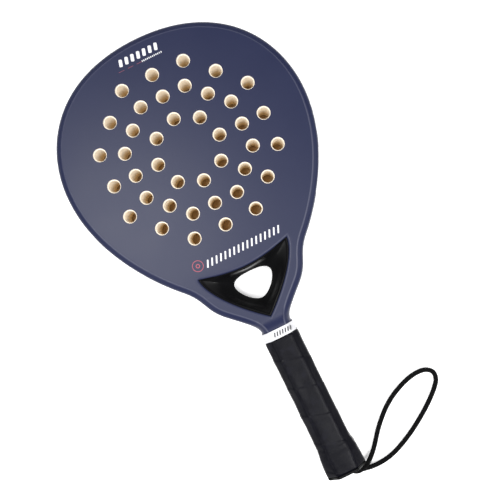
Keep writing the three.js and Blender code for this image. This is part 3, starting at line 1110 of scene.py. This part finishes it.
def lip_ring(way_in, depth):
    """A ring a fixed way in along every spoke, near the face."""
    ring = []
    for a, b in zip(STAR, OPENING):
        towards = (b - a).normalized()
        ring.append(lifted(a + towards * way_in, 1, depth))
    return ring


def lining_surface():
    """Rings from the groove over the lip and down to the middle plane."""
    rings = [lip_ring(way_in, depth) for way_in, depth in LIP]
    way_in, lip_depth = LIP[-1]
    for step in range(1, FALL_STEPS + 1):
        share = 1 - (1 - step / FALL_STEPS) ** 1.5
        ring = []
        for a, b in zip(STAR, OPENING):
            spoke = b - a
            start = min(way_in / spoke.length, 0.45)
            part = start + (1 - start) * share
            p = a + spoke * part
            level = fall(part) + (fall(0) - fall(start)) * (1 - share)
            ring.append(lifted(p, level * (1 - lip_depth / MID)))
        rings.append(ring)
    return rings


def flipped(ring):
    return [Vector((p.x, p.y, THICKNESS - p.z)) for p in ring]


def throat_lining(name, front):
    seen = lining_surface()
    backs = [0.1, 0.35, 0.6, 0.85, 1.0]
    hidden = [spoke_ring(share, fall, LINER_WALL) for share in backs]
    hidden.insert(0, [lifted(p, 1, 2.4) for p in grown(STAR, LINER_WALL)])
    rings = seen + hidden[::-1]
    shape = Shape()
    shape.rings(rings if front else [flipped(ring) for ring in rings], closed_along=True)
    return shape.piece(name, LINER, sharp=50)


settle(throat_lining("front_throat_lining", True), "throat_liner_front")
settle(throat_lining("back_throat_lining", False), "throat_liner_back")

# %% [markdown]
# Above the opening lies the bridge, and below it the wedge between the arms. They are cut
# from one block, so both come from the same stack of loops: down the tube's side of the
# block, across the split, and along the star. The lacquer rolls over the star's edge before
# the lining's groove begins. The wedge runs on as a skin over the handle core to the tape.

# %% Bridge and wedge
SPLIT = -131
SPLIT_STATION = station_near(SPLIT, SHOULDER)
SKIN_END_STATION = station_near(-188.5, SHOULDER)
SPLIT_POINT = min(range(TOP_STEPS, len(STAR) // 2), key=lambda i: abs(STAR[i].y - HEAD_Y - SPLIT))
EDGE_ROLL = [  # [growth beyond the star, depth below the face]
    (2.6, 0), (2.1, 0.04), (1.6, 0.14), (1.15, 0.32), (0.75, 0.58), (0.42, 0.92), (0.2, 1.3),
    (0.1, 1.5),
]
# Painted highlight: the rows of the roll over the star's edge get some paler lacquer.
EDGE_HIGHLIGHT = 0.3
HIGHLIGHT_ROWS = range(1, 5)
BLOCK_INSET = TUBE_WIDTH + 0.3
BLOCK_WALL = LINER_WALL + 0.3
BLOCK_SPACING = 2.5


def star_part(ring, bridge):
    """The bridge's part of a throat ring, from right to left, or the wedge's, from left to right."""
    if bridge:
        return ring[SPLIT_POINT::-1] + ring[:-SPLIT_POINT - 1:-1]
    return ring[-SPLIT_POINT:SPLIT_POINT - 1:-1]


def block_loop(bridge, inset, ring, level, depth):
    """One closed loop of the bridge or the wedge, as points of the frame."""
    if bridge:
        stations = range(SHEET_STATION, SPLIT_STATION + 1)
    else:
        stations = range(SPLIT_STATION, SKIN_END_STATION + 1)
    right = [moved_in(RIGHT[i], inset) for i in stations]
    left = [moved_in(LEFT[i], inset) for i in reversed(stations)]
    inner = star_part(ring, bridge)
    plan = right + inner + left if bridge else right + left + inner
    return [lifted(p, level, depth) for p in plan]


def throat_block(name, bridge):
    front = [block_loop(bridge, SHOULDER, grown(STAR, growth), 1, depth) for growth, depth in EDGE_ROLL]
    front.append(block_loop(bridge, BLOCK_INSET, grown(STAR, BLOCK_WALL), 1, SHEET + 1))
    for share in (0.35, 0.6, 0.85, 1.0):
        ring = [a.lerp(b, share) for a, b in zip(STAR, OPENING)]
        front.append(block_loop(bridge, BLOCK_INSET, grown(ring, BLOCK_WALL), fall(share), 0))
    loops = front + [flipped(loop) for loop in front[-2::-1]]
    amounts = [EDGE_HIGHLIGHT if row in HIGHLIGHT_ROWS else 0 for row in range(len(front))]
    shape = Shape()
    shape.rings(loops, wear_and_painted_highlight=[[amount] * len(front[0]) for amount in amounts])
    plan = [p.to_2d() for p in front[0]]
    points, triangles = fill(plan, [], BLOCK_SPACING)
    shape.flat([lifted(p, 1) for p in points], triangles)
    shape.flat([lifted(p, -1) for p in points], triangles)
    return shape.piece(name, NAVY, sharp=40)


settle(throat_block("lacquered_bridge", True), "throat_bridge")
settle(throat_block("lacquered_wedge", False), "throat_wedge")

# %% [markdown]
# ## The handle
#
# Everything on the handle has the same section, an octagon with rounded corners. Flats get
# points of their own as well as corners, so that the wrap's lapped edge can cross them.

# %% The rounded octagon
CORNER_STEPS = 5
FLAT_STEPS = 6
FILLET = 2.0


def octagon(width, depth, corner):
    """Points round an octagon of half width and half depth, as (x, z) from the centre line."""
    quarter = [(width - corner, depth), (width, depth - corner)]
    corners = [Vector(p) for p in quarter]
    corners += [Vector((x, -z)) for x, z in reversed(quarter)]
    corners += [Vector((-x, -z)) for x, z in quarter]
    corners += [Vector((-x, z)) for x, z in reversed(quarter)]
    arcs = []
    for before, p, after in zip([corners[-1], *corners[:-1]], corners, [*corners[1:], corners[0]]):
        start = p + (before - p).normalized() * FILLET
        end = p + (after - p).normalized() * FILLET
        arcs.append([start.lerp(p, t).lerp(p.lerp(end, t), t) for t in steps_to(CORNER_STEPS)])
    points = []
    for arc, following in zip(arcs, [*arcs[1:], arcs[0]]):
        points += arc
        points += [arc[-1].lerp(following[0], (i + 1) / (FLAT_STEPS + 1)) for i in range(FLAT_STEPS)]
    return points


def steps_to(count):
    return [i / count for i in range(count + 1)]


def across(section, y):
    """A section of the handle at a drawn height along it."""
    return [Vector((p.x, y + HEAD_Y, MID + p.y)) for p in section]


# %% [markdown]
# ## The wrap
#
# The base grip is a strip of soft cushioned film, wound from the butt up. Each turn laps the
# one below, so its edge stands up as a low ridge that climbs round the handle, and between
# ridges the film sinks back. Near the end it flares over the butt cap. A real wrap is never
# even, so a slow noise swells and pinches it by up to a fifth of a millimetre.

# %% Base grip
GRIP_TOP = -195.2
GRIP_END = -335.4
GRIP_RINGS = 230
LAP_PITCH = 29
LAP_HEIGHT = 0.3
LAP_RISE = 0.045  # in turns, as is the fall
LAP_FALL = 0.4
GRIP_ROWS = [  # [drawn height, half width, half depth, corner]
    (GRIP_TOP, 16.85, 16.6, 7.2), (-307, 17.0, 16.7, 7.1), (-311, 17.6, 17.1, 7.1),
    (-319, 18.75, 17.95, 8.0), (-327, 19.45, 18.4, 9.0), (GRIP_END, 19.65, 18.55, 9.6),
]
GRIP_BORE = [
    (GRIP_TOP, 15.5, 15.3, 5.5), (-304, 15.5, 15.3, 5.5), (-308.2, 16.6, 16.3, 6.2),
    (-327, 18.1, 17.3, 8.6), (GRIP_END, 18.3, 17.3, 9.2),
]


def size_at(rows, y):
    """The sizes at a height, between the rows above and below it."""
    for upper, lower in zip(rows, rows[1:]):
        if upper[0] >= y >= lower[0]:
            share = smooth_step((upper[0] - y) / (upper[0] - lower[0]))
            return [a + (b - a) * share for a, b in zip(upper[1:], lower[1:])]
    return rows[-1][1:]


def lap(y, x, z):
    """How far the wrap stands up at a place on the handle."""
    turn = (GRIP_TOP - y) / LAP_PITCH + math.atan2(z, x) / TAU
    share = turn % 1
    rise = smooth_step(share / LAP_RISE)
    ridge = rise * (1 - smooth_step((share - 0.05) / LAP_FALL))
    spot = Vector((x, y, z))
    swell = noise.noise(spot * 0.09) * 0.22 + noise.noise(spot * 0.4) * 0.05
    return LAP_HEIGHT * ridge + swell


def base_grip():
    outer = []
    for i in range(GRIP_RINGS + 1):
        y = GRIP_TOP + (GRIP_END - GRIP_TOP) * i / GRIP_RINGS
        edge = min(GRIP_TOP - y, y - GRIP_END)
        rounding = 0.7 * (1 - min(edge / 0.9, 1)) ** 2
        ring = []
        for p in octagon(*size_at(GRIP_ROWS, y)):
            push = lap(y, p.x, p.y) * smooth_step(edge / 3) - rounding
            ring.append(p + p.normalized() * push)
        outer.append(across(ring, y))
    inner = [across(octagon(*row[1:]), row[0]) for row in GRIP_BORE]
    shape = Shape()
    shape.rings(outer + inner[::-1], closed_along=True)
    return shape.piece("wound_base_grip", WRAP, sharp=60)


settle(base_grip(), "base_grip")

# %% [markdown]
# ## Collar tape and butt cap
#
# A white tape binds the upper end of the wrap. It is thin, so it takes the shape of what is
# under it, and its edges are soft. The butt cap closes the other end: its rim stands just
# past the wrap, its end face is slightly dished, and the cord comes through an oval slot.

# %% Collar tape
TAPE_TOP = -186.2
TAPE_END = -194.9
TAPE_RINGS = 18


def collar_tape():
    outer = []
    for i in range(TAPE_RINGS + 1):
        share = i / TAPE_RINGS
        y = TAPE_TOP + (TAPE_END - TAPE_TOP) * share
        edge = min(share, 1 - share)
        bulge = 0.22 * smooth_step(edge / 0.12) - 0.12
        ring = []
        for p in octagon(16.35, 16.1, 6.6):
            crease = 0.07 * noise.noise(Vector((p.x, y * 2.2, p.y)) * 0.35)
            ring.append(p + p.normalized() * (bulge + crease))
        outer.append(across(ring, y))
    inner = [across(octagon(15.5, 15.3, 5.6), y) for y in (TAPE_TOP, TAPE_END)]
    shape = Shape()
    shape.rings(outer + inner[::-1], closed_along=True)
    return shape.piece("collar_wrap_tape", TAPE, sharp=50)


settle(collar_tape(), "collar_tape")

# %% Butt cap
SLOT_HALF = (3.8, 6.3)


def slot_ring(like, grow_by, y):
    """The slot's oval with its points at the same angles as an octagon's."""
    ring = []
    for p in like:
        angle = math.atan2(p.y, p.x)
        x = SLOT_X + (SLOT_HALF[0] + grow_by) * math.cos(angle)
        z = SLOT_Z - MID + (SLOT_HALF[1] + grow_by) * math.sin(angle)
        ring.append(Vector((x, z)))
    return across(ring, y)


def butt_cap():
    rim_top = GRIP_END - 0.2
    outside = [
        (-308.6, 16.0, 15.7, 6.4), (-327, 17.5, 16.7, 8.8), (rim_top, 17.8, 16.8, 9.4),
        (rim_top - 0.05, 19.0, 17.9, 9.5), (rim_top - 0.35, 19.55, 18.45, 9.6),
        (rim_top - 0.9, 19.75, 18.65, 9.6), (BUTT_END + 1.1, 19.7, 18.6, 9.6),
        (BUTT_END + 0.5, 19.4, 18.3, 9.5), (BUTT_END + 0.12, 18.8, 17.7, 9.4),
        (BUTT_END, 18.0, 16.9, 9.2), (BUTT_END + 0.1, 17.2, 16.1, 8.8),
        (BUTT_END + 0.5, 16.6, 15.5, 8.4), (BUTT_END + 0.8, 15.4, 14.3, 7.6),
    ]
    plan = octagon(15.4, 14.3, 7.6)
    rings = [across(octagon(*row[1:]), row[0]) for row in outside]
    rings += [slot_ring(plan, 1.0, BUTT_END + 0.85), slot_ring(plan, 0.4, BUTT_END + 1.0)]
    rings += [slot_ring(plan, 0.0, BUTT_END + 1.5), slot_ring(plan, 0.0, BUTT_END + 3.4)]
    inside_rows = [(BUTT_END + 3.4, 14.6, 14.4, 5.5), (-323, 15.3, 15.1, 5.5), (-308.6, 15.4, 15.2, 5.6)]
    rings += [across(octagon(*row[1:]), row[0]) for row in inside_rows]
    shape = Shape()
    shape.rings(rings, closed_along=True)
    return shape.piece("moulded_butt_cap", CAP, sharp=40)


settle(butt_cap(), "butt_cap")

# %% [markdown]
# ## Print
#
# The real racket carries print in white and red. This one carries plain marks in the same
# places: slanted bars, a ring inside a ring, and thin lines. A bar is a rounded rectangle, a
# twelfth of a millimetre thick, and a tree sets bars at an even step along a line.

# %% The bar tree
INK = 0.08


def bar_tree():
    numbers = ["Width", "Height", "Thickness", "Rounding", "Spacing", "Slant"]
    graph, given = new_tree("print_bars", {**dict.fromkeys(numbers, float), "Material": None})
    line = graph.node("GeometryNodeMeshToCurve", inputs={"Mesh": given})
    stepped = {"Curve": line, "Length": given.output("Spacing")}
    even = graph.node("GeometryNodeResampleCurve", {"mode": "LENGTH"}, stepped)
    size = {"Width": given.output("Width"), "Height": given.output("Height")}
    box = graph.node("GeometryNodeCurvePrimitiveQuadrilateral", inputs=size)
    rounding = {"Curve": box, "Radius": given.output("Rounding"), "Count": 3}
    soft = graph.node("GeometryNodeFilletCurve", {"mode": "POLY"}, rounding)
    face = graph.node("GeometryNodeFillCurve", {"mode": "NGONS"}, {"Curve": soft})
    lift = {"Mesh": face, "Offset Scale": given.output("Thickness"), "Individual": False}
    raised = graph.node("GeometryNodeExtrudeMesh", inputs=lift)
    base = graph.node("GeometryNodeFlipFaces", inputs={"Mesh": face})
    welded = {"Geometry": join(graph, raised, base), "Distance": WELD * MM}
    whole = graph.node("GeometryNodeMergeByDistance", inputs=welded)
    turn = graph.node("ShaderNodeCombineXYZ", inputs={"Z": given.output("Slant")})
    spin = graph.node("FunctionNodeEulerToRotation", inputs={0: turn})
    placed = {"Points": even, "Instance": whole, "Rotation": spin}
    bars = graph.node("GeometryNodeInstanceOnPoints", inputs=placed)
    return end_tree(graph, bars, given.output("Material"))


BAR_TREE = bar_tree()


def bars(name, x0, x1, y, z, width, height, spacing, slant, ink, slot):
    """A row of bars from x0 to x1, centred on a drawn height, each leaning by a slant in degrees."""
    ends = [Vector((x, y + HEAD_Y, z)) for x in (x0, x1)]
    values = {
        "Width": width * MM,
        "Height": height * MM,
        "Thickness": INK * MM,
        "Rounding": min(width, height) * 0.3 * MM,
        "Spacing": spacing * MM,
        "Slant": math.radians(-slant),
        "Material": ink,
    }
    made = grow(name, BAR_TREE, ends, [(0, 1)], **values)
    made.data.set_sharp_from_angle(angle=math.radians(40))
    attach(made, "root")


# %% Marks on the front face and the tape
FACE = THICKNESS
bars("throat_bars", -31, 42, -103.1, FACE, 1.5, 7.6, 4.3, 24, WHITE_INK, "white_tape")
bars("tip_bars", -21.5, 14.5, 99.9, FACE, 3.2, 7.0, 5.15, 16, WHITE_INK, "white_tape")
bars("tip_small_bars", -2.5, 17, 93, FACE, 1.0, 1.5, 1.75, 0, WHITE_INK, "white_tape")
bars("tip_red_line", -24, -5.5, 92.8, FACE, 5.6, 0.45, 6.17, 0, DULL_RED_INK, "navy_paint")
TAPE_Y = (TAPE_TOP + TAPE_END) / 2
TAPE_FACE = MID + 16.42
bars("tape_bars", -4.5, 12, TAPE_Y, TAPE_FACE, 1.2, 4.5, 2.75, 20, GREY_INK, "white_tape")

# %% [markdown]
# The rolled side of the head carries print too, seen from the front only as a thin pale
# line. These dashes are ribbons a little off the lacquer, closed underneath.

# %% Dashes on the side of the head
DASHES = [(-8, -14), (-19, -37), (-50, -88)]
DASH_INSETS = [(0.8, 3.9), (0.6, 4.4), (0.42, 5.0), (0.3, 5.6), (0.16, 6.9)]
DASH_LIFT = 0.06
DASH_ROOT = 0.15


def dash_line(station, sink):
    """A dash's section at a station, sunk into the side or lifted off it."""
    line = []
    for inset, depth in DASH_INSETS:
        p = moved_in(station, inset + sink)
        line.append(Vector((p.x, p.y, THICKNESS - depth - sink)))
    return line


def side_dash(shape, stations):
    rings = [dash_line(s, -DASH_LIFT) + dash_line(s, DASH_ROOT)[::-1] for s in stations]
    shape.rings(rings)
    shape.end(rings[0])
    shape.end(rings[-1])


def side_dashes():
    shape = Shape()
    for top, bottom in DASHES:
        near = [i for i in range(len(RIGHT)) if bottom <= RIGHT[i][0].y - HEAD_Y <= top]
        side_dash(shape, [RIGHT[i] for i in near])
        side_dash(shape, [LEFT[i] for i in near])
    dashes = shape.piece("side_dashes", WHITE_INK, sharp=50)
    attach(dashes, "root")


side_dashes()

# %% [markdown]
# The ring mark is a flat band with a smaller one inside it, turned from short rows of rings
# like the other pieces.

# %% Ring inside a ring
RING_SIDES = 64


def turned(shape, centre, rows):
    """Adds a closed body turned about an upright axis from [radius, height] rows."""
    rings = []
    for radius, z in rows:
        rings.append([Vector((p.x, p.y, z)) for p in circle(centre, radius, RING_SIDES)])
    shape.rings(rings, closed_along=True)


def ring_mark():
    centre = Vector((-40.3, -101.1 + HEAD_Y))
    shape = Shape()
    low = FACE - 0.02
    high = FACE + INK
    for outer, inner in ((5.4, 4.85), (2.0, 1.3)):
        turned(shape, centre, [(outer, low), (outer, high), (inner, high), (inner, low)])
    mark = shape.piece("ring_mark", RED_INK)
    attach(mark, "root")


ring_mark()

# %% [markdown]
# ## Pieces kept from the CAD model
#
# Three CAD solids stay as they are, because they are sealed inside: the foam in the tube,
# the core of the handle and the knot of the cord. They still get their real finishes.

# %% Finishes on the kept CAD nodes
for node, finish in (("frame_foam", FOAM), ("handle_core", FOAM), ("cord_knot", YARN)):
    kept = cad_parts[node]
    kept.data.materials.clear()
    kept.data.materials.append(finish)

# %% [markdown]
# ## Studio
#
# The floor is a sheet of matt white paper on a light table, so it glows softly and the racket
# throws almost no shadow on it. Under the head the paper is painted brown and does not glow:
# a disc of painted shade, which is what the holes look down on. The room is dim, and four soft
# square lights hang in it. One stands over the left of the head and puts the broad sheen on the
# lacquer there, the key picks out the hole walls and the wrap from the lower right, and the two
# far ones fill in.

# %% Floor, room and lights
FLOOR_HALF = 3.0
FLOOR_DROP = 0.0002
PAINTED_SHADE_EDGE = (0.09, 0.11)
ROOM_LIGHT = 0.22


def floor_paper():
    fixed = {"Roughness": 0.9, "Specular_IOR_Level": 0.1, "Emission_Strength": 0.4}
    paper, graph, shader = new_finish("floor_paper", **fixed)
    terms = {0: place(graph), 1: (0.0, HEAD_Y * MM, 0.0)}
    reach = graph.node("ShaderNodeVectorMath", {"operation": "DISTANCE"}, terms, "Value")
    # Painted shade: under the head the paper is brown and does not glow.
    beyond = reach.ramp(*PAINTED_SHADE_EDGE)
    graph.feed(shader.inputs["Emission Color"], blend(graph, beyond, rgb(0, 0, 0), rgb(1, 1, 1)))
    pale = blend(graph, grain(graph, 3.0), rgb(0.93, 0.93, 0.93), rgb(0.95, 0.95, 0.95))
    graph.feed(shader.inputs["Base Color"], blend(graph, beyond, rgb(0.6, 0.43, 0.25), pale))
    return paper


def floor():
    data = bpy.data.meshes.new("floor")
    near, far = -FLOOR_HALF, FLOOR_HALF
    corners = [(near, near), (far, near), (far, far), (near, far)]
    data.from_pydata([(x, y, -FLOOR_DROP) for x, y in corners], [], [(0, 1, 2, 3)])
    data.materials.append(floor_paper())
    made = bpy.data.objects.new("floor", data)
    SCENE.collection.objects.link(made)
    made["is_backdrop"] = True


def soft_light(name, right, up, height, size, power):
    """A square light aimed at the face. It is placed from the camera's foot, in the picture's
    own right and up, and its height is measured from the face."""
    angle = math.radians(-LEAN)
    aim = Vector((EYE_X * MM, (EYE_Y + HEAD_Y) * MM, THICKNESS * MM))
    right_way = Vector((math.cos(angle), math.sin(angle), 0))
    up_way = Vector((-math.sin(angle), math.cos(angle), 0))
    data = bpy.data.lights.new(name, "AREA")
    data.shape = "SQUARE"
    data.size = size
    data.energy = power
    lamp = bpy.data.objects.new(name, data)
    lamp.location = aim + right_way * right + up_way * up + Vector((0, 0, height))
    lamp.rotation_euler = (aim - lamp.location).to_track_quat("-Z", "Y").to_euler()
    SCENE.collection.objects.link(lamp)


floor()
soft_light("sheen", -0.335, 0.04, 1.0, 0.35, 7.8)
soft_light("key", 0.38, -0.32, 1.0, 0.4, 8.0)
soft_light("right", 1.1, 0.1, 1.0, 0.5, 6.0)
soft_light("lower_left", -0.8, -0.8, 1.0, 0.5, 5.0)

world = bpy.data.worlds.new("studio")
world.use_nodes = True
world.node_tree.nodes["Background"].inputs["Color"].default_value = rgb(1.0, 1.0, 1.0)
world.node_tree.nodes["Background"].inputs["Strength"].default_value = ROOM_LIGHT
SCENE.world = world
SCENE.view_settings.view_transform = "Standard"

# %% [markdown]
# ## Sizes
#
# The last lines print the CAD model's box and the visual model's box side by side, so the
# two can be compared.

# %% Sizes, then finish
made_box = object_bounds()
for label, box in (("CAD", cad_box), ("visual", made_box)):
    print(label, [f"{(high - low) / MM:.1f}" for low, high in zip(*box)])
